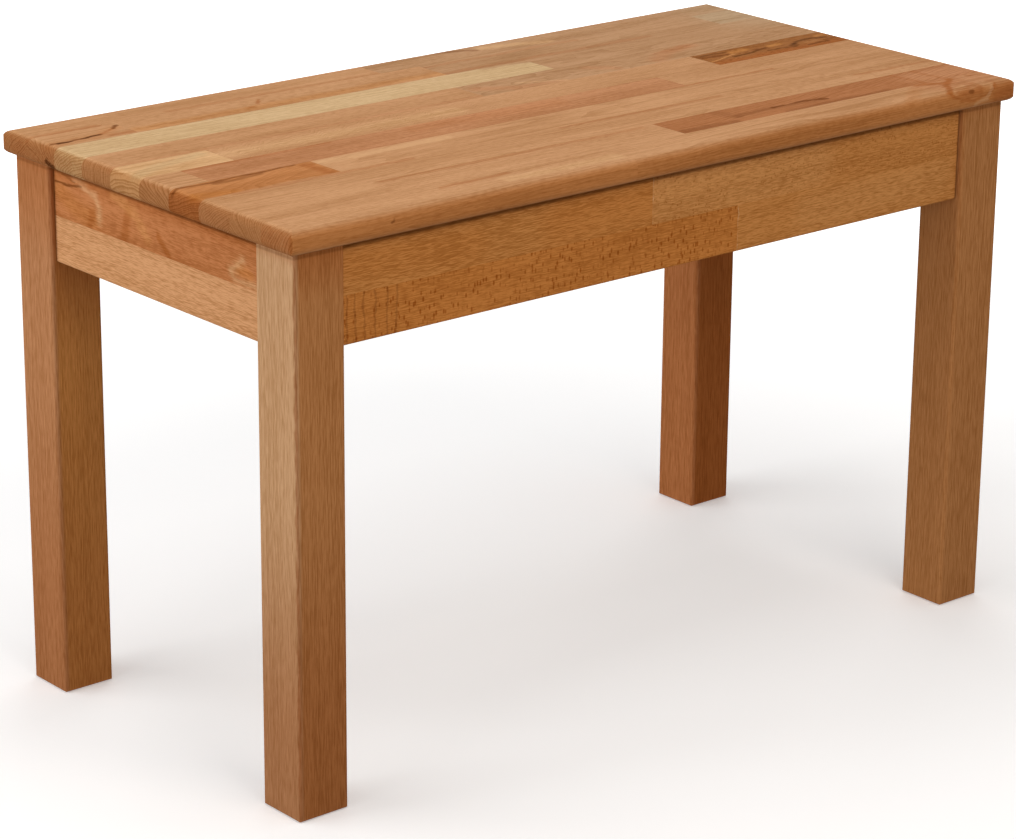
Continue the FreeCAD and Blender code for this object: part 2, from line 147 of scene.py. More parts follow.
def beech_group():
    """Solid beech as a node group. Places are in mm, with the grain along x."""
    t = bpy.data.node_groups.new("solid_beech", "ShaderNodeTree")
    for name, kind, default in BEECH_INPUTS:
        socket = t.interface.new_socket(name, in_out="INPUT", socket_type="NodeSocket" + kind)
        socket.default_value = default
    t.interface.new_socket("Colour", in_out="OUTPUT", socket_type="NodeSocketColor")
    t.interface.new_socket("Roughness", in_out="OUTPUT", socket_type="NodeSocketFloat")
    t.interface.new_socket("Height", in_out="OUTPUT", socket_type="NodeSocketFloat")
    given = t.nodes.new("NodeGroupInput").outputs
    math_node, vector_node, noise = "ShaderNodeMath", "ShaderNodeVectorMath", "ShaderNodeTexNoise"
    place = given["Place"]
    spot = add(t, vector_node, given["Seed"], SEED_STEP, place, operation="MULTIPLY_ADD")

    # The trunk's axis wanders, so growth rings bend along the stave.
    across = add(t, math_node, given["Warp length"], 5, operation="DIVIDE")
    reach = add(t, "ShaderNodeCombineXYZ", given["Warp length"], across, across)
    bent = add(t, vector_node, spot, reach, operation="DIVIDE")
    sway = add(t, noise, at={"Vector": bent, "Scale": 1, "Detail": 2}, out="Color")
    sway = add(t, vector_node, sway, (0.5, 0.5, 0.5), operation="SUBTRACT")
    swing = add(t, math_node, given["Warp"], 4, operation="MULTIPLY")
    sway = add(t, vector_node, sway, at={"Scale": swing}, operation="SCALE")
    curl = add(t, vector_node, spot, RIPPLE_SIZE, operation="DIVIDE")
    curl = add(t, noise, at={"Vector": curl, "Scale": 1, "Detail": 0})
    curl = add(t, math_node, curl, 0.5, operation="SUBTRACT")
    curl = add(t, math_node, curl, given["Ripple"], operation="MULTIPLY")

    # Rings are tubes round the pith, which leans by Tilt along the stave and swerves round a knot.
    from_pith = add(t, vector_node, place, given["Pith"], operation="SUBTRACT")
    along = add(t, "ShaderNodeSeparateXYZ", from_pith)
    lean = add(t, vector_node, given["Tilt"], at={"Scale": along}, operation="SCALE")
    spoke = add(t, vector_node, from_pith, lean, operation="SUBTRACT")
    spoke = add(t, vector_node, spoke, sway, operation="ADD")
    spoke = add(t, vector_node, spoke, (0, 1, 1), operation="MULTIPLY")
    radius = add(t, vector_node, spoke, operation="LENGTH", out="Value")
    radius = add(t, math_node, radius, curl, operation="ADD")
    from_knot = add(t, vector_node, place, given["Knot"], operation="SUBTRACT")
    from_knot = add(t, vector_node, from_knot, KNOT_SHAPE, operation="MULTIPLY")
    from_knot = add(t, vector_node, from_knot, operation="LENGTH", out="Value")
    from_knot = add(t, math_node, from_knot, given["Knot size"], operation="DIVIDE")
    from_knot = add(t, math_node, from_knot, from_knot, operation="MULTIPLY")
    from_knot = add(t, math_node, from_knot, -0.4, operation="MULTIPLY")
    swerve = add(t, math_node, from_knot, operation="EXPONENT")
    swerve = add(t, math_node, swerve, given["Knot size"], operation="MULTIPLY")
    radius = add(t, math_node, swerve, 1.6, radius, operation="MULTIPLY_ADD")
    ring = add(t, math_node, radius, given["Ring width"], operation="DIVIDE")
    years = add(t, noise, at={"W": ring, "Scale": 0.37, "Detail": 1}, noise_dimensions="1D")
    ring = add(t, math_node, years, 1.5, ring, operation="MULTIPLY_ADD")
    ring = add(t, math_node, ring, operation="FRACT")
    late = add(t, math_node, ring, 2.2, operation="POWER")

    # Fibres and vessels: streaks about 1.2 mm wide and 60 mm long, in broader clouds of tone.
    fibre = add(t, vector_node, spot, FIBRE_SIZE, operation="DIVIDE")
    fibre = add(t, noise, at={"Vector": fibre, "Scale": 1, "Detail": 3, "Roughness": 0.62})
    cloud = add(t, vector_node, spot, CLOUD_SIZE, operation="DIVIDE")
    cloud = add(t, noise, at={"Vector": cloud, "Scale": 1, "Detail": 3, "Roughness": 0.55})

    # Pores: thin lines, mostly about 8 mm long, drawn 0.5 mm wide so that they show.
    pores = add(t, "ShaderNodeCombineXYZ", given["Pore length"], PORE_WIDTH, PORE_WIDTH)
    pores = add(t, vector_node, spot, pores, operation="DIVIDE")
    pores = add(t, noise, at={"Vector": pores, "Scale": 1, "Detail": 0})

    # Rays run out from the pith. Cut across they are dashes about 5 mm long, drawn 0.75 mm wide so that
    # they show, and cut along they are flakes, which stand in clusters.
    rays = add(t, "ShaderNodeVectorRotate", at={"Vector": spot, "Angle": given["Ray turn"]},
               rotation_type="X_AXIS")
    dash = add(t, vector_node, rays, DASH_SIZE, operation="DIVIDE")
    dash = add(t, noise, at={"Vector": dash, "Scale": 1, "Detail": 1})
    dash = add(t, "ShaderNodeMapRange", dash, 0.4, 0.75, 0, 1, interpolation_type="SMOOTHSTEP")
    dash = add(t, math_node, dash, given["Dashes"], operation="MULTIPLY")
    flake = add(t, vector_node, rays, FLAKE_SIZE, operation="DIVIDE")
    flake = add(t, "ShaderNodeTexVoronoi", at={"Vector": flake, "Scale": 1})
    flake = add(t, "ShaderNodeMapRange", flake, 0.16, 0.4, 1, 0, interpolation_type="SMOOTHSTEP")
    cluster = add(t, vector_node, spot, CLUSTER_SIZE, operation="DIVIDE")
    cluster = add(t, noise, at={"Vector": cluster, "Scale": 1, "Detail": 1})
    cluster = add(t, "ShaderNodeMapRange", cluster, 0.36, 0.6, 0.45, 1.4)
    flake = add(t, math_node, flake, cluster, operation="MULTIPLY")
    flake = add(t, math_node, flake, given["Flakes"], operation="MULTIPLY")
    fleck = add(t, math_node, dash, flake, operation="MAXIMUM")

    # A face that the fibres run into shows end grain.
    end = add(t, "ShaderNodeNewGeometry", out="Normal")
    end = add(t, vector_node, end, given["Grain"], operation="DOT_PRODUCT", out="Value")
    end = add(t, math_node, end, operation="ABSOLUTE")
    end = add(t, "ShaderNodeMapRange", end, 0.3, 0.75, 0, 1, interpolation_type="SMOOTHSTEP")

    # Rings, fibres, pores and clouds add up to one shade between pale and dark.
    ring_part = add(t, math_node, late, 0.3, operation="SUBTRACT")
    depth = add(t, math_node, end, 1.5, given["Ring depth"], operation="MULTIPLY_ADD")
    shade = add(t, math_node, ring_part, depth, 0.4, operation="MULTIPLY_ADD")
    fibre_part = add(t, math_node, fibre, 0.5, operation="SUBTRACT")
    shade = add(t, math_node, fibre_part, 1.6, shade, operation="MULTIPLY_ADD")
    pore_part = add(t, math_node, pores, 0.5, operation="SUBTRACT")
    shade = add(t, math_node, pore_part, given["Pores"], shade, operation="MULTIPLY_ADD")
    cloud_part = add(t, math_node, cloud, 0.5, operation="SUBTRACT")
    cloud_part = add(t, math_node, cloud_part, given["Clouds"], operation="MULTIPLY")
    shade = add(t, math_node, cloud_part, 2.0, shade, operation="MULTIPLY_ADD", use_clamp=True)
    mix = {"out": 2, "data_type": "RGBA"}
    gain = add(t, "ShaderNodeMix", at={0: shade, 6: PALE_GAIN, 7: DARK_GAIN}, **mix)
    mix["blend_type"] = "MULTIPLY"
    colour = add(t, "ShaderNodeMix", at={0: 1, 6: given["Tone"], 7: gain}, **mix)
    colour = add(t, "ShaderNodeMix", at={0: fleck, 6: colour, 7: linear(RAY_TINT)}, **mix)
    colour = add(t, "ShaderNodeMix", at={0: end, 6: colour, 7: linear(END_TINT)}, **mix)

    rough = add(t, math_node, fibre_part, 0.25, 0.6, operation="MULTIPLY_ADD")
    height = add(t, math_node, fleck, -0.3, fibre, operation="MULTIPLY_ADD")
    add(t, "NodeGroupOutput", colour, rough, height)
    return t


BEECH = beech_group()

# The oil has sunk in and dried, so hardly any gloss is left on the wood.
OIL_SHINE = 0.002

# For each direction of the grain, the turn that lays it along x, and its own direction.
GRAINS = {
    "x": ((0, 0, 0), (1, 0, 0)),
    "y": ((0, 0, -math.pi / 2), (0, 1, 0)),
    "z": ((0, math.pi / 2, 0), (0, 0, 1)),
}


def along_grain(point, grain):
    """A bench place in the wood's own axes, where x runs along the grain."""
    x, y, z = point
    return {"x": (x, y, z), "y": (y, -x, z), "z": (z, y, -x)}[grain]


def stretch_group():
    """Distance in mm from a place to one straight stretch of a streak, as a node group."""
    t = bpy.data.node_groups.new("streak_stretch", "ShaderNodeTree")
    for name in ("Place", "Start", "Finish"):
        t.interface.new_socket(name, in_out="INPUT", socket_type="NodeSocketVector")
    t.interface.new_socket("Gap", in_out="OUTPUT", socket_type="NodeSocketFloat")
    given = t.nodes.new("NodeGroupInput").outputs
    vector_node = "ShaderNodeVectorMath"
    reach = add(t, vector_node, given["Place"], given["Start"], operation="SUBTRACT")
    line = add(t, vector_node, given["Finish"], given["Start"], operation="SUBTRACT")
    part = add(t, vector_node, reach, line, operation="DOT_PRODUCT", out="Value")
    whole = add(t, vector_node, line, line, operation="DOT_PRODUCT", out="Value")
    part = add(t, "ShaderNodeMath", part, whole, operation="DIVIDE", use_clamp=True)
    foot = add(t, vector_node, line, at={"Scale": part}, operation="SCALE")
    add(t, "NodeGroupOutput", add(t, vector_node, reach, foot, operation="DISTANCE", out="Value"))
    return t


STRETCH = stretch_group()

# The two axes of each plane that streaks are drawn on.
PLANES = {
    "skin": (0, 1), "top": (0, 1), "front": (0, 2), "left": (1, 2),
    "top_line": (0, 1), "front_line": (0, 2), "left_line": (1, 2),
}

# Heights in mm between which a streak on the seat's skin comes in.
SKIN = (452, 459)

# A streak strays by DRIFT mm in waves of DRIFT_SIZE, and its edges fray in fibres of FRAY_SIZE.
DRIFT = 5.0
DRIFT_SIZE = (16, 9, 9)
FRAY_SIZE = (14, 1.6, 1.6)
FRAY_MOST = 10

# A streak is solid up to the first share of its half width, and gone at the second.
SOLID = 0.2
GONE = 1.1


def streaked(tree, colour, coords, grain_place, streaks):
    """Draws streaks into the wood's tone. They run straight in from the plane that they are drawn on.

    Each streak is its plane, half width in mm, tone, strength and the bench points that it joins. On
    the plane called skin it fades out below the seat's upper face. On a plane whose name ends in line
    it neither strays nor frays.
    """
    if not streaks:
        return colour
    vector_node = "ShaderNodeVectorMath"
    axes = add(tree, "ShaderNodeSeparateXYZ", coords).node.outputs
    drift = add(tree, vector_node, grain_place, DRIFT_SIZE, operation="DIVIDE")
    drift = add(tree, "ShaderNodeTexNoise", at={"Vector": drift, "Scale": 1, "Detail": 2}, out="Color")
    drift = add(tree, vector_node, drift, (0.5, 0.5, 0.5), operation="SUBTRACT")
    fray = add(tree, vector_node, grain_place, FRAY_SIZE, operation="DIVIDE")
    fray = add(tree, "ShaderNodeTexNoise", at={"Vector": fray, "Scale": 1, "Detail": 2})
    fray = add(tree, "ShaderNodeMath", fray, 0.5, operation="SUBTRACT")
    height = add(tree, "ShaderNodeMath", axes[2], 1 / MM, operation="MULTIPLY")
    skin = add(tree, "ShaderNodeMapRange", height, *SKIN, 0, 1, interpolation_type="SMOOTHSTEP")
    for plane, width, tone, strength, *points in streaks:
        across, along = PLANES[plane]
        flat = add(tree, "ShaderNodeCombineXYZ", axes[across], axes[along])
        flat = add(tree, vector_node, flat, at={"Scale": 1 / MM}, operation="SCALE")
        even = plane.endswith("_line")
        if not even:
            flat = add(tree, vector_node, drift, (DRIFT, DRIFT, 0), flat, operation="MULTIPLY_ADD")
        gap = None
        for start, finish in zip(points, points[1:]):
            ends = {"Place": flat, "Start": (*start, 0), "Finish": (*finish, 0)}
            stretch = add(tree, "ShaderNodeGroup", node_tree=STRETCH, at=ends)
            gap = stretch if gap is None else add(tree, "ShaderNodeMath", gap, stretch, operation="MINIMUM")
        if not even:
            loose = min(1.6 * width, FRAY_MOST)
            gap = add(tree, "ShaderNodeMath", fray, loose, gap, operation="MULTIPLY_ADD")
        mask = add(tree, "ShaderNodeMapRange", gap, SOLID * width, GONE * width, strength, 0,
                   interpolation_type="SMOOTHSTEP")
        if plane == "skin":
            mask = add(tree, "ShaderNodeMath", mask, skin, operation="MULTIPLY")
        colour = add(tree, "ShaderNodeMix", at={0: mask, 6: colour, 7: linear(TONES[tone])}, out=2,
                     data_type="RGBA")
    return colour


# Each piece was sawn from its own place in a trunk: mm from the pith, lean of the pith, ring width in mm.
PITH_FAR = (45, 110)
PITH_LEAN = 0.02
RING_WIDTHS = (1.8, 3.2)


def oiled_beech(node, tone, grain="x", pith=None, streaks=(), **figure):
    """Planed and oiled beech: matt, with fine streaks along the grain, short rays and darker end grain.

    pith is the direction away from the trunk's middle in degrees, round the grain, and figure sets other
    inputs of the solid_beech group by their names.
    """
    rng = random.Random(node)
    corners = [[v / MM for v in corner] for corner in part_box(node)]
    middle = along_grain([(a + b) / 2 for a, b in zip(*corners)], grain)
    turn, direction = GRAINS[grain]
    material = bpy.data.materials.new("oiled_beech_" + node)
    material.use_nodes = True
    t = material.node_tree
    shader = t.nodes["Principled BSDF"]
    coords = add(t, "ShaderNodeTexCoord", out="Object")
    place = add(t, "ShaderNodeMapping", coords, at={"Rotation": turn, "Scale": (1 / MM,) * 3})
    angle = rng.uniform(0, 2 * math.pi)
    far = rng.uniform(*PITH_FAR)
    if pith is not None:
        angle = math.radians(pith)
    given = {
        "Place": place,
        "Grain": direction,
        "Tone": streaked(t, linear(TONES[tone]), coords, place, streaks),
        "Seed": rng.uniform(0, 40),
        "Pith": (middle[0], middle[1] - far * math.cos(angle), middle[2] - far * math.sin(angle)),
        "Tilt": (0, rng.uniform(-PITH_LEAN, PITH_LEAN), rng.uniform(-PITH_LEAN, PITH_LEAN)),
        "Ring width": rng.uniform(*RING_WIDTHS),
        "Ray turn": -angle,
    }
    for name, value in figure.items():
        given[name.replace("_", " ").capitalize()] = along_grain(value, grain) if name == "knot" else value
    wood = add(t, "ShaderNodeGroup", node_tree=BEECH, at=given).node
    bump = {"Height": wood.outputs["Height"], "Strength": 0.25, "Distance": 0.2 * MM}
    bump = add(t, "ShaderNodeBump", at=bump)
    t.links.new(wood.outputs["Colour"], shader.inputs["Base Color"])
    t.links.new(wood.outputs["Roughness"], shader.inputs["Roughness"])
    t.links.new(bump, shader.inputs["Normal"])
    shader.inputs["Specular IOR Level"].default_value = OIL_SHINE
    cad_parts[node].material_slots[0].material = material


# Painted shade: dark lines where shade falls in the corners, under the board's edges, and where legs and
# aprons meet the board and each other.
BOARD_UNDERSIDE = 441
# Painted shade along the board's lower edges.
SHADE_UNDER_EDGES = tuple(
    (plane, 2.6, "heart", 0.85, (middle - 3, BOARD_UNDERSIDE - 0.5), (middle + 3, BOARD_UNDERSIDE - 0.5))
    for plane, middle in (("left_line", -187), ("left_line", 187), ("front_line", -375), ("front_line", 375)))


def level_line(plane, width, tone, strength, below):
    """A level line of painted shade along the whole bench, this many mm below the board's underside."""
    height = BOARD_UNDERSIDE - below
    return plane, width, tone, strength, (-400, height), (400, height)


# Painted shade just under the board, on the legs and aprons.
SHADE_UNDER_BOARD = (
    level_line("front_line", 8, "russet", 0.25, 1),
    level_line("front_line", 1.8, "bark", 0.3, 2.5),
)
# Painted shade on the aprons: the lines under the board, and a darker one just below them.
SHADE_OVER_APRON = (*SHADE_UNDER_BOARD, level_line("front_line", 2.4, "bark", 0.55, 3.5))
# Painted shade down the aprons' ends, beside the legs.
SHADE_BESIDE_LEGS = {
    "front": tuple(("front_line", 3, "heart", 0.7, (x, 360), (x, 445)) for x in (-322.5, 322.5)),
    "left": tuple(("left_line", 4, "heart", 0.7, (y, 360), (y, 445)) for y in (-135, 135)),
}

# Seat staves, row 1 at the back: tone, figure and streaks as the photograph shows them.
# Painted sheen: a grey wash on the back right corner of the seat, standing in for the white room's reflection
# on the top.
SHEEN_GREY_END = ("top", 90, "ash", 0.6, (385, 200), (385, 130))
FRONT_EDGE = ("top_line", 7, "caramel", 0.9, (-380, -190), (380, -190))
SEAT = {
    "row1_stave_a": ("tan", {"pith": 40, "ring_width": 1.8}, (
        ("top", 7, "cinnamon", 0.6, (-379, 187), (-379, 150)),
        ("skin", 4, "russet", 0.35, (-375, 153), (-312, 153)),
        ("skin", 5, "russet", 0.3, (-240, 154), (-30, 153)))),
    "row1_stave_b": ("biscuit", {"clouds": 1.4}, (
        ("skin", 4.5, "heart", 0.5, (52, 182), (70, 177), (88, 169)),
        ("skin", 9, "straw", 0.6, (96, 172), (130, 164), (158, 156)), SHEEN_GREY_END)),
    "row2_stave_a": ("tan", {"pith": 120, "ring_width": 1.8}, (
        ("top", 7, "cinnamon", 0.6, (-379, 154), (-379, 112)),
        ("left", 4, "bark", 0.8, (117, 444), (124, 446)),
        ("skin", 9, "copper", 0.4, (-370, 123), (-325, 127), (-303, 138)),
        ("skin", 2.6, "heart", 0.8, (-370, 124.5), (-358, 123.5), (-344, 125.5), (-323, 127)),
        ("skin", 2.8, "bark", 0.75, (-364, 124), (-352, 123.5)),
        ("skin", 2.2, "bark", 0.7, (-342, 125.5), (-324, 127)),
        ("skin", 2.4, "russet", 0.5, (-322, 128.5), (-312, 133), (-305, 138)),
        ("skin", 2.4, "heart", 0.8, (-305, 138), (-298, 144)),
        ("skin", 6, "russet", 0.5, (-318, 121), (-298, 120)),
        ("skin", 3, "russet", 0.45, (-370, 152), (-308, 151)))),
    "row2_stave_b": ("tan", {}, (
        ("skin", 3, "russet", 0.6, (-184, 125), (-178, 126)),
        ("skin", 2.4, "russet", 0.6, (-169, 132), (-161, 142)),
        ("skin", 10, "honey", 0.4, (-290, 122), (10, 122)))),
    "row2_stave_c": ("biscuit", {"clouds": 1.4}, (
        ("skin", 4, "russet", 0.3, (14, 146), (180, 146)),
        ("skin", 6, "russet", 0.3, (14, 119), (240, 117)),
        SHEEN_GREY_END)),
    # The last stave of row 2 is pale wood, and its grey tone also paints the same sheen.
    "row2_stave_d": ("ash", {}, ()),
    "row3_stave_a": ("sapwood", {"clouds": 0.5, "pith": 50, "ring_width": 2.2}, (
        ("top", 7, "tan", 0.7, (-379, 116), (-379, 74)),
        ("skin", 8, "biscuit", 0.85, (48, 117), (96, 111)))),
    "row3_stave_b": ("biscuit", {}, (SHEEN_GREY_END,)),
    "row4_stave_a": ("tan", {"ring_depth": 0.25}, (("skin", 5, "rose", 0.5, (-375, 39), (-11, 40)),)),
    "row4_stave_b": ("biscuit", {"warp": 7, "warp_length": 90, "ring_width": 4, "ring_depth": 0.7}, (
        ("skin", 10, "rose", 0.6, (0, 60), (30, 44), (72, 38)),
        ("skin", 2.6, "straw", 0.4, (38, 57), (78, 41)),
        ("skin", 12, "rose", 0.6, (186, 46), (205, 60), (244, 70)),
        ("skin", 7, "russet", 0.25, (212, 65), (240, 69)),
        ("skin", 8, "rose", 0.5, (120, 62), (140, 45)))),
    "row5_stave_a": ("straw", {"pith": 80, "ring_width": 3}, (
        ("skin", 9, "sapwood", 0.6, (-372, 8), (-340, 22), (-300, 30)),)),
    "row5_stave_b": ("tan", {"ripple": 9, "flakes": 0.2}, (
        ("skin", 14, "straw", 0.55, (-280, 18), (-60, 16)),)),
    "row5_stave_c": ("gold", {
        "warp": 9, "warp_length": 40, "ring_width": 3, "ring_depth": 1.6, "clouds": 1.6,
    }, (
        ("skin", 10, "russet", 0.7, (215, 4), (375, 4)), ("skin", 4, "heart", 0.75, (219, 26), (246, 23)),
        ("skin", 2, "bark", 0.5, (217, 33), (250, 31)), ("skin", 1.6, "wheat", 0.6, (217, 13), (252, 21)),
        ("skin", 6, "honey", 0.7, (254, 27), (270, 29)),
        ("skin", 2.4, "bark", 0.65, (246, 15), (268, 16), (278, 21), (290, 23)),
        ("skin", 4, "heart", 0.6, (278, 22), (290, 22)), ("skin", 2, "bark", 0.5, (284, 13), (306, 12)),
        ("skin", 4.5, "honey", 0.55, (296, 25), (308, 26)), ("skin", 5, "bark", 0.5, (312, 12), (320, 18)),
        ("skin", 3, "bark", 0.6, (318, 18), (331, 24), (345, 25), (360, 21)),
        ("skin", 4, "chestnut", 0.5, (332, 15), (345, 15)), ("skin", 2, "bark", 0.5, (328, 8), (352, 9)),
        ("skin", 2, "heart", 0.6, (352, 14), (375, 15)), ("skin", 3, "honey", 0.5, (355, 28), (375, 31)))),
    "row6_stave_a": ("tan", {"pith": 120, "ring_width": 2.6, "ring_depth": 0.8}, ()),
    "row6_stave_b": ("rose", {"clouds": 1.2, "tilt": (0, 0.01, 0.06), "ring_depth": 0.6}, (
        ("skin", 16, "redheart", 0.3, (-120, -8), (20, -14)),
        ("skin", 4, "russet", 0.4, (-338, -2), (-200, -2)))),
    "row6_stave_c": ("tan", {}, (("skin", 3, "russet", 0.5, (143, -37), (240, -37)),)),
    "row7_stave_a": ("copper", {"tilt": (0, 0.02, 0.1), "ring_depth": 0.5}, (
        ("top", 7, "cinnamon", 0.8, (-379, -36), (-379, -78)),
        ("skin", 9, "amber", 0.5, (-370, -66), (-340, -72)),
        ("skin", 2.6, "heart", 0.7, (-375, -41), (-330, -41), (-262, -40)),
        ("skin", 4, "heart", 0.5, (-338, -45), (-318, -46), (-296, -43)),
        ("skin", 8, "russet", 0.6, (-254, -46), (-252, -74)),
        ("skin", 4, "tan", 0.6, (-345, -77), (-270, -77)))),
    "row7_stave_b": ("tan", {"clouds": 1.2}, (("skin", 8, "straw", 0.35, (-240, -46), (-120, -46)),)),
    "row8_stave_a": ("tan", {"pith": 55, "ring_width": 1.9}, (
        ("top", 7, "rose", 0.6, (-379, -74), (-379, -116)),
        ("skin", 4, "russet", 0.35, (-345, -78), (-180, -79)),
        ("skin", 4, "russet", 0.35, (-30, -78), (140, -79)))),
    "row8_stave_b": ("tan", {}, (("skin", 4, "russet", 0.35, (280, -96), (375, -98)),)),
    "row9_stave_a": ("tan", {"pith": 150, "ring_width": 1.9, "ring_depth": 0.6}, ()),
    "row9_stave_b": ("tan", {}, (("skin", 5, "russet", 0.3, (-240, -116), (20, -117)),)),
    "row9_stave_c": ("cocoa", {"tilt": (0, 0.03, 0.16), "warp": 5, "ring_depth": 0.8}, (
        ("skin", 7, "heart", 0.4, (38, -146), (62, -148), (92, -150)),
        ("skin", 10, "heart", 0.2, (98, -117), (102, -136)),
        ("skin", 6, "heart", 0.35, (104, -138), (140, -135), (200, -138)),
        ("skin", 2.4, "heart", 0.8, (146, -135), (178, -133), (203, -139)),
        ("skin", 5, "heart", 0.4, (150, -150), (262, -151)),
        ("skin", 26, "rose", 0.9, (315, -134), (375, -134)),
        ("skin", 4, "russet", 0.35, (300, -114), (304, -154)),
        ("skin", 4, "russet", 0.35, (325, -114), (328, -154)))),
    "row10_stave_a": ("tan", {"pith": 25}, (
        ("top", 7, "redheart", 0.6, (-379, -150), (-379, -190)),
        ("skin", 9, "straw", 0.5, (-160, -170), (-52, -170)),
        ("skin", 4, "russet", 0.4, (-215, -157), (-150, -156)),
        FRONT_EDGE, ("front", 1.8, "heart", 0.7, (-284, 453), (-282, 454)))),
    "row10_stave_b": ("tan", {"pith": 70, "ring_depth": 0.6}, (
        ("skin", 8, "copper", 0.35, (248, -190), (272, -170), (290, -158)),
        ("skin", 26, "rose", 0.8, (300, -160), (375, -165)),
        ("skin", 7, "russet", 0.7, (292, -150), (312, -160)),
        ("skin", 5, "russet", 0.8, (297, -188), (312, -168), (328, -155)),
        ("skin", 4, "straw", 0.4, (306, -186), (322, -176)), FRONT_EDGE,
        ("front", 11, "russet", 0.8, (354, 450), (378, 450)),
        ("front", 6, "russet", 0.6, (310, 456), (334, 456)),
        ("front", 2.2, "russet", 0.7, (298, 457), (310, 451), (326, 449), (342, 452), (352, 458)),
        ("front", 2.4, "straw", 0.35, (347, 457), (340, 448), (328, 445)),
        ("front", 2, "heart", 0.65, (321, 456.5), (324, 456.5)))),
}
# Each seat stave also gets the painted shade along the board's lower edges.
for name, (tone, figure, streaks) in SEAT.items():
    oiled_beech("seat_" + name, tone, streaks=streaks + SHADE_UNDER_EDGES, **figure)

# Aprons. The front and left ones follow the photograph, the others are of the same wood.
FRONT = {
    "upper_stave_a": ("honey", {"pores": 4, "dashes": 0.4, "pith": 0}, (
        ("front", 22, "amber", 0.5, (-322, 425), (-200, 415)),
        ("front", 30, "amber", 0.6, (-110, 418), (-15, 420)),
        *SHADE_OVER_APRON)),
    "upper_stave_b": ("honey", {"pores": 3, "flakes": 0.5, "pith": 60, "dashes": 0.4}, (
        ("front", 36, "wheat", 0.75, (-25, 422), (150, 422)),
        ("front", 0.8, "straw", 0.6, (-20, 400), (-20, 441)),
        *SHADE_OVER_APRON)),
    "lower_stave_a": ("amber", {"pores": 3, "flakes": 0.9, "pith": 90}, tuple(
        ("front", 1.3, "heart", 0.35, (x, 362), (x, 402)) for x in (-317, -309, -301, -291, -280, -271))),
    "lower_stave_b": ("honey", {"pores": 3, "clouds": 1.2, "dashes": 0.4}, (
        ("front", 24, "wheat", 0.5, (150, 382), (300, 385)),
        ("front", 0.8, "straw", 0.5, (71, 363), (71, 401)))),
}
# The aprons also get painted shade under the board and at their ends beside the legs.
for name, (tone, figure, streaks) in FRONT.items():
    oiled_beech("front_apron_" + name, tone, streaks=streaks + SHADE_BESIDE_LEGS["front"], **figure)
    oiled_beech("back_apron_" + name, tone, streaks=SHADE_OVER_APRON + SHADE_BESIDE_LEGS["front"], **figure)
LEFT_UPPER = (
    # Painted shade: a broad darker band just under the board.
    level_line("left_line", 16, "russet", 0.55, 0),
    ("left", 12, "caramel", 0.5, (134, 425), (110, 415), (80, 408)),
    ("left", 1.7, "heart", 0.85, (132, 429), (115, 429), (96, 431)),
    ("left", 1.4, "heart", 0.6, (122, 436), (104, 433)), ("left", 6, "russet", 0.7, (86, 402), (82, 412)),
    ("left", 7, "russet", 0.65, (40, 402), (32, 426)), ("left", 4, "russet", 0.8, (-20, 401), (-6, 416)),
    ("left", 6, "straw", 0.28, (107, 439), (92, 431), (77, 428), (72, 419), (73, 409)),
    ("left", 2.6, "straw", 0.25, (92, 431), (77, 428), (72, 419), (73, 409)),
    ("left", 7, "wheat", 0.35, (52, 436), (22, 424), (8, 410)),
    ("left", 7, "amber", 0.4, (-108, 414), (-122, 410)),
    ("left", 6, "straw", 0.25, (-113, 421), (-97, 410), (-102, 405), (-130, 404)),
    ("left", 2.4, "straw", 0.35, (-113, 421), (-97, 410), (-102, 405), (-130, 404)),
    *SHADE_OVER_APRON, *SHADE_BESIDE_LEGS["left"],
)
oiled_beech("left_apron_upper_stave", "redheart", grain="y", warp=5, warp_length=90, ring_depth=0.35,
            clouds=1.7, pores=2.5, streaks=LEFT_UPPER)
oiled_beech("left_apron_lower_stave", "sand", grain="y", pores=3, dashes=0.3, pith=20, ring_depth=0.45,
            knot=(-363, -140, 438), knot_size=22, streaks=SHADE_BESIDE_LEGS["left"])
# The right apron gets the same painted shade.
oiled_beech("right_apron_upper_stave", "redheart", grain="y", warp=6, ring_depth=0.7,
            streaks=SHADE_OVER_APRON + SHADE_BESIDE_LEGS["left"])
oiled_beech("right_apron_lower_stave", "sand", grain="y", streaks=SHADE_BESIDE_LEGS["left"])

# Legs: the left ones get painted shade towards the foot and under the board, three have a left face of
# another tone, paler on the front left and back right legs where it also paints the light from the left, and
# the front left one has a darker line down its front left edge.
LEGS = {
    "front_left": ("chestnut", (
        # Painted shade under the board.
        ("front", 40, "russet", 0.5, (-400, 441), (-300, 441)),
        # A paler left face, which also paints the light falling from the left.
        ("top_line", 5, "blush", 0.95, (-368, -190), (-368, -130)),
        # A darker line down the front left edge.
        ("top_line", 1.6, "umber", 0.55, (-367.6, -180.6), (-366.4, -181)),
        ("top", 1.3, "umber", 0.4, (-368, -180.5), (-367.5, -180)),
        # Painted shade, darker towards the foot.
        ("front", 260, "umber", 0.6, (-400, 0), (400, 0)))),
    "front_right": ("chestnut", ()),
    "back_left": ("honey", (
        # Painted shade under the board.
        ("front", 150, "umber", 0.8, (-400, 430), (-300, 430)),
        ("top_line", 5, "clay", 0.95, (-368, 130), (-368, 190)),
        # Painted shade under the board.
        ("left", 80, "russet", 0.45, (130, 441), (190, 441)),
        # Painted shade, darker towards the foot.
        ("front", 260, "umber", 0.45, (-400, 0), (400, 0)))),
    # A paler left face, which also paints the light reaching it from the left.
    "back_right": ("russet", (("top_line", 5, "redheart", 0.9, (322, 130), (322, 190)),)),
}
# Every leg also gets the painted shade just under the board.
for name, (tone, streaks) in LEGS.items():
    oiled_beech("leg_" + name, tone, grain="z", pith=45, pores=2.4, pore_length=13, dashes=0.2, clouds=0.6,
                streaks=streaks + SHADE_UNDER_BOARD)

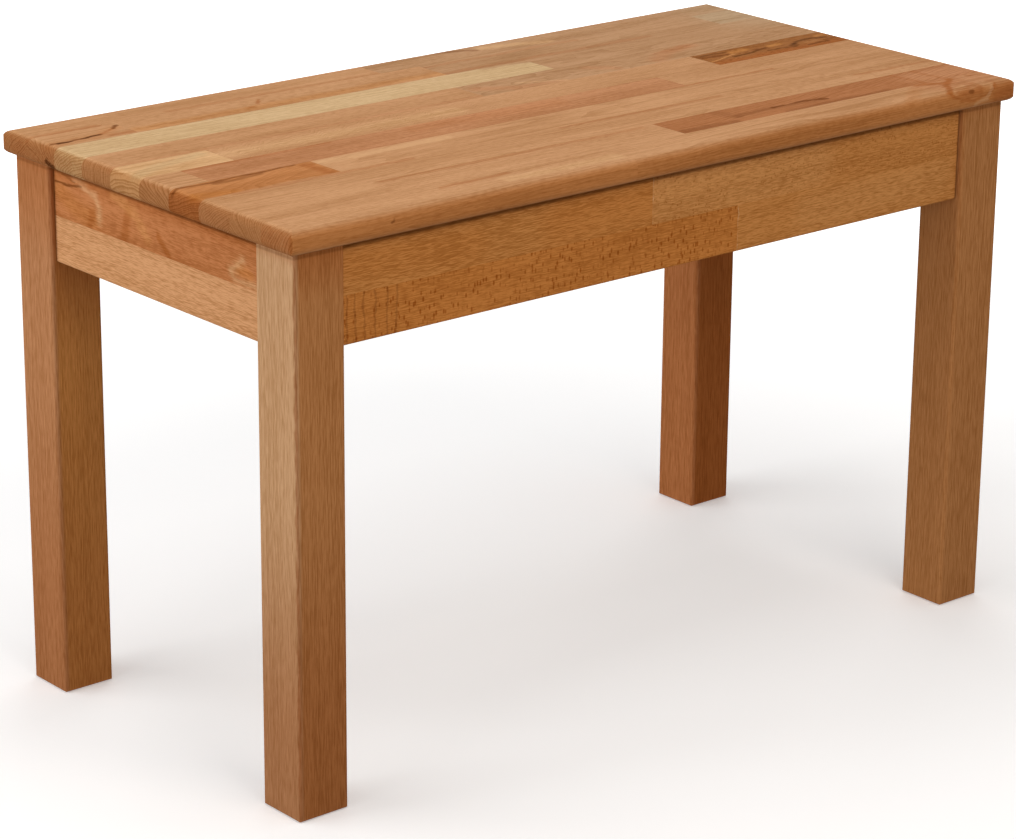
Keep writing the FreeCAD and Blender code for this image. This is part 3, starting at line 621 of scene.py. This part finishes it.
# Seat buttons, with the grain along their tongues.
BUTTONS = {
    "front_left": "y", "front_right": "y", "back_left": "y", "back_right": "y", "left": "x", "right": "x",
}
for name, grain in BUTTONS.items():
    oiled_beech("seat_button_" + name, "straw", grain=grain)


ZINC_DULL = "#A9AFB6"
ZINC_BRIGHT = "#D3D5D4"
ZINC_CLOUD = 7 * MM


def zinc_plated(name, wipe):
    """Zinc-plated steel: a dull, slightly blue silver with soft clouds and fine marks.

    wipe is the size in mm of the marks that rolling or turning left, along each axis.
    """
    material = bpy.data.materials.new(name)
    material.use_nodes = True
    t = material.node_tree
    shader = t.nodes["Principled BSDF"]
    coords = add(t, "ShaderNodeTexCoord", out="Object")
    cloud = add(t, "ShaderNodeTexNoise", at={"Vector": coords, "Scale": 1 / ZINC_CLOUD, "Detail": 3})
    marks = add(t, "ShaderNodeMapping", coords, at={"Scale": [1 / (v * MM) for v in wipe]})
    marks = add(t, "ShaderNodeTexNoise", at={"Vector": marks, "Scale": 1, "Detail": 2})
    tints = {6: linear(ZINC_DULL), 7: linear(ZINC_BRIGHT)}
    colour = add(t, "ShaderNodeMix", at={0: cloud, **tints}, out=2, data_type="RGBA")
    rough = add(t, "ShaderNodeMapRange", marks, 0.3, 0.7, 0.3, 0.46)
    bump = add(t, "ShaderNodeBump", at={"Height": marks, "Strength": 0.2, "Distance": 0.05 * MM})
    t.links.new(colour, shader.inputs["Base Color"])
    t.links.new(rough, shader.inputs["Roughness"])
    t.links.new(bump, shader.inputs["Normal"])
    shader.inputs["Metallic"].default_value = 1
    return material


pressed_steel = zinc_plated("zinc_plated_rolled_sheet", (2.5, 2.5, 0.3))
turned_steel = zinc_plated("zinc_plated_turned_steel", (0.6, 0.6, 0.6))
for corner in LEGS:
    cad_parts["corner_bracket_" + corner].material_slots[0].material = pressed_steel
for node in ("bolt_washers", "bolt_nuts", "bracket_screws", "button_screws"):
    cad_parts[node].material_slots[0].material = turned_steel

# Hanger bolts with a real thread, one on each point of a four-point mesh.
BOLT_SIZES = {
    "Diameter": 8 * MM,
    "Length": 76.5 * MM,
    "Pitch": 1.25 * MM,
    "Thread depth": 0.7 * MM,
    "Point": 5 * MM,
    "Chamfer": 1 * MM,
}
ROWS_PER_PITCH = 5
SIDES = 24


def hanger_bolt_tree():
    """Geometry Nodes: a pointed rod whose surface winds a thread, set on points and aimed at the middle."""
    t = bpy.data.node_groups.new("hanger_bolts", "GeometryNodeTree")
    t.interface.new_socket("Points", in_out="INPUT", socket_type="NodeSocketGeometry")
    for name, size in BOLT_SIZES.items():
        t.interface.new_socket(name, in_out="INPUT", socket_type="NodeSocketFloat").default_value = size
    t.interface.new_socket("Finish", in_out="INPUT", socket_type="NodeSocketMaterial")
    t.interface.new_socket("Bolts", in_out="OUTPUT", socket_type="NodeSocketGeometry")
    given = t.nodes.new("NodeGroupInput").outputs
    math_node = "ShaderNodeMath"
    rows = int(BOLT_SIZES["Length"] / BOLT_SIZES["Pitch"] * ROWS_PER_PITCH)
    sheet = add(t, "GeometryNodeMeshGrid", 1, 1, rows, SIDES + 1)
    place = add(t, "ShaderNodeSeparateXYZ", add(t, "GeometryNodeInputPosition")).node.outputs
    share = add(t, math_node, place[0], 0.5, operation="ADD")
    around = add(t, math_node, place[1], 0.5, operation="ADD")
    height = add(t, math_node, share, given["Length"], operation="MULTIPLY")
    turns = add(t, math_node, height, given["Pitch"], operation="DIVIDE")
    wave = add(t, math_node, turns, around, operation="SUBTRACT")
    wave = add(t, math_node, wave, 0.5, operation="PINGPONG")
    groove = add(t, math_node, wave, given["Thread depth"], operation="MULTIPLY")
    half = add(t, math_node, given["Diameter"], 0.5, operation="MULTIPLY")
    groove = add(t, math_node, groove, 2, operation="MULTIPLY")
    radius = add(t, math_node, half, groove, operation="SUBTRACT")
    point = add(t, math_node, height, given["Point"], operation="DIVIDE")
    point = add(t, math_node, point, half, operation="MULTIPLY")
    radius = add(t, math_node, radius, point, operation="MINIMUM")
    end = add(t, math_node, given["Length"], height, operation="SUBTRACT")
    end = add(t, math_node, end, half, operation="ADD")
    end = add(t, math_node, end, given["Chamfer"], operation="SUBTRACT")
    radius = add(t, math_node, radius, end, operation="MINIMUM")
    inside = add(t, math_node, share, 0.9999, operation="LESS_THAN")
    radius = add(t, math_node, radius, inside, operation="MULTIPLY")
    angle = add(t, math_node, around, 2 * math.pi, operation="MULTIPLY")
    x = add(t, math_node, add(t, math_node, angle, operation="COSINE"), radius, operation="MULTIPLY")
    y = add(t, math_node, add(t, math_node, angle, operation="SINE"), radius, operation="MULTIPLY")
    spot = add(t, "ShaderNodeCombineXYZ", x, y, height)
    rod = add(t, "GeometryNodeSetPosition", sheet, at={"Position": spot})
    rod = add(t, "GeometryNodeMergeByDistance", rod, at={"Distance": 0.001 * MM})
    aim = add(t, "GeometryNodeInputPosition")
    aim = add(t, "ShaderNodeVectorMath", aim, (-1, -1, 0), operation="MULTIPLY")
    aim = add(t, "ShaderNodeVectorMath", aim, operation="SIGN")
    aim = add(t, "FunctionNodeAlignRotationToVector", at={"Vector": aim}, axis="Z")
    bolts = add(t, "GeometryNodeInstanceOnPoints", given["Points"], at={"Instance": rod, "Rotation": aim})
    bolts = add(t, "GeometryNodeRealizeInstances", bolts)
    bolts = add(t, "GeometryNodeSetMaterial", bolts, at={"Material": given["Finish"]})
    add(t, "NodeGroupOutput", bolts)
    return t


low, high = (Vector(corner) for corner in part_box("hanger_bolts"))
bolt_height = (low.z + high.z) / 2
points = bpy.data.meshes.new("bolt_points")
points.from_pydata([(x, y, bolt_height) for x in (low.x, high.x) for y in (low.y, high.y)], [], [])
maker = bpy.data.objects.new("bolt_maker", points)
bpy.context.scene.collection.objects.link(maker)
modifier = maker.modifiers.new("hanger_bolts", "NODES")
modifier.node_group = hanger_bolt_tree()
for item in modifier.node_group.interface.items_tree:
    if item.name in BOLT_SIZES:
        modifier[item.identifier] = BOLT_SIZES[item.name]
    elif item.name == "Finish":
        modifier[item.identifier] = turned_steel
ready = maker.evaluated_get(bpy.context.evaluated_depsgraph_get())
bolts = bpy.data.objects.new("threaded_hanger_bolts", bpy.data.meshes.new_from_object(ready))
bpy.data.objects.remove(maker)
bpy.context.scene.collection.objects.link(bolts)
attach(bolts, "root")
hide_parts("hanger_bolts")

# Camera
yaw, pitch, roll = (math.radians(v) for v in (CAMERA_YAW, CAMERA_PITCH, CAMERA_ROLL))
ahead = Vector((math.sin(yaw) * math.cos(pitch), math.cos(yaw) * math.cos(pitch), math.sin(pitch)))
right = Vector((math.cos(yaw), -math.sin(yaw), 0))
up = right.cross(ahead)
right, up = right * math.cos(roll) + up * math.sin(roll), up * math.cos(roll) - right * math.sin(roll)
camera = bpy.data.objects.new("camera", bpy.data.cameras.new("camera"))
camera.data.sensor_width = SENSOR_WIDTH
camera.data.lens = FOCAL_PIXELS / PHOTO_WIDTH * SENSOR_WIDTH
camera.data.clip_end = 60
camera.matrix_world = Matrix.Translation(CAMERA_PLACE) @ Matrix((right, up, -ahead)).transposed().to_4x4()
bpy.context.scene.collection.objects.link(camera)
bpy.context.scene.camera = camera

# Light: a white room, seen white by the camera and in reflections, but dimmer as light.
ROOM_LIGHT = 0.3


def seen_directly(tree):
    """1 for camera, mirror and see-through rays, 0 for the rays that light the object."""
    path = add(tree, "ShaderNodeLightPath").node.outputs
    seen = add(tree, "ShaderNodeMath", path["Is Camera Ray"], path["Is Glossy Ray"], operation="MAXIMUM")
    return add(tree, "ShaderNodeMath", seen, path["Is Transmission Ray"], operation="MAXIMUM")


world = bpy.data.worlds.new("white_room")
world.use_nodes = True
bpy.context.scene.world = world
t = world.node_tree
t.nodes.clear()
dim = add(t, "ShaderNodeBackground", (1, 1, 1, 1), ROOM_LIGHT)
white = add(t, "ShaderNodeBackground", (1, 1, 1, 1), 1.0)
room = add(t, "ShaderNodeMixShader", seen_directly(t), dim, white)
add(t, "ShaderNodeOutputWorld", room)

# Each lamp: name, place and aim in metres, width in metres, power in watts, colour.
LAMPS = (
    ("left_softbox", (-2.4, 0.0, 0.9), (0, 0, 0.35), 1.6, 13, "#FFFFFF"),
    ("back_left_softbox", (-2.2, 1.2, 1.3), (0, 0, 0.35), 2.0, 25, "#FFFFFF"),
    ("overhead_softbox", (0.0, 0.1, 2.4), (0, 0, 0.4), 1.8, 16, "#FFFFFF"),
    ("front_softbox", (-0.2, -1.9, 1.9), (0, 0, 0.35), 1.4, 15.5, "#FFF4EA"),
    ("front_left_softbox", (-1.2, -2.0, 1.0), (0, 0, 0.35), 1.6, 5, "#FFF4EA"),
    ("back_right_softbox", (1.8, 1.8, 1.2), (0, 0, 0.35), 1.8, 14, "#FFFFFF"),
)
for name, place, aim, size, power, colour in LAMPS:
    lamp = bpy.data.lights.new(name, "AREA")
    lamp.size = size
    lamp.energy = power
    lamp.color = linear(colour)[:3]
    holder = bpy.data.objects.new(name, lamp)
    holder.location = place
    holder.rotation_euler = (Vector(aim) - Vector(place)).to_track_quat("-Z", "Y").to_euler()
    bpy.context.scene.collection.objects.link(holder)

# Floor: pale matt paper that shows white to the camera where it is lit, and keeps the bench's shadow.
# From below it is clear, so that the underside can be seen, and it lights the feet that stand on it.
FLOOR_HALF = 12.0
FLOOR_HEIGHT = -0.5 * MM
FLOOR_REACH = 0.004
FLOOR_LIGHT = 0.35

# The floor's glow to the camera grows outwards: metres from the middle, then strengths.
GLOW_PLACES = (0.4, 2.2)
GLOWS = (0.26, 0.9)
floor_mesh = bpy.data.meshes.new("floor")
corners = ((-1, -1), (1, -1), (1, 1), (-1, 1))
floor_places = [(x * FLOOR_HALF, y * FLOOR_HALF, FLOOR_HEIGHT) for x, y in corners]
floor_mesh.from_pydata(floor_places, [], [(0, 1, 2, 3)])
floor = bpy.data.objects.new("floor", floor_mesh)
bpy.context.scene.collection.objects.link(floor)
paper = bpy.data.materials.new("matt_white_paper")
paper.use_nodes = True
t = paper.node_tree
t.nodes.clear()
coords = add(t, "ShaderNodeTexCoord", out="Object")
mottle = add(t, "ShaderNodeTexNoise", at={"Vector": coords, "Scale": 3.0})
seen = seen_directly(t)
shade = add(t, "ShaderNodeMapRange", seen, 0, 1, 0.5, 0.85)
shade = add(t, "ShaderNodeMath", mottle, 0.02, shade, operation="MULTIPLY_ADD")
matt = add(t, "ShaderNodeBsdfDiffuse", shade)
away = add(t, "ShaderNodeVectorMath", coords, operation="LENGTH", out="Value")
fade = add(t, "ShaderNodeMapRange", away, *GLOW_PLACES, *GLOWS, interpolation_type="SMOOTHSTEP")
lift = add(t, "ShaderNodeMath", seen, fade, operation="MULTIPLY")
path = add(t, "ShaderNodeLightPath").node.outputs
near = add(t, "ShaderNodeMath", path["Ray Length"], FLOOR_REACH, operation="LESS_THAN")
near = add(t, "ShaderNodeMath", near, path["Is Diffuse Ray"], operation="MULTIPLY")
lift = add(t, "ShaderNodeMath", near, FLOOR_LIGHT, lift, operation="MULTIPLY_ADD")
glow = add(t, "ShaderNodeEmission", (1, 1, 1, 1), lift)
top_side = add(t, "ShaderNodeAddShader", matt, glow)
below = add(t, "ShaderNodeNewGeometry", out="Backfacing")
clear = add(t, "ShaderNodeBsdfTransparent")
add(t, "ShaderNodeOutputMaterial", add(t, "ShaderNodeMixShader", below, top_side, clear))
floor_mesh.materials.append(paper)

bpy.context.scene.view_settings.view_transform = "Standard"
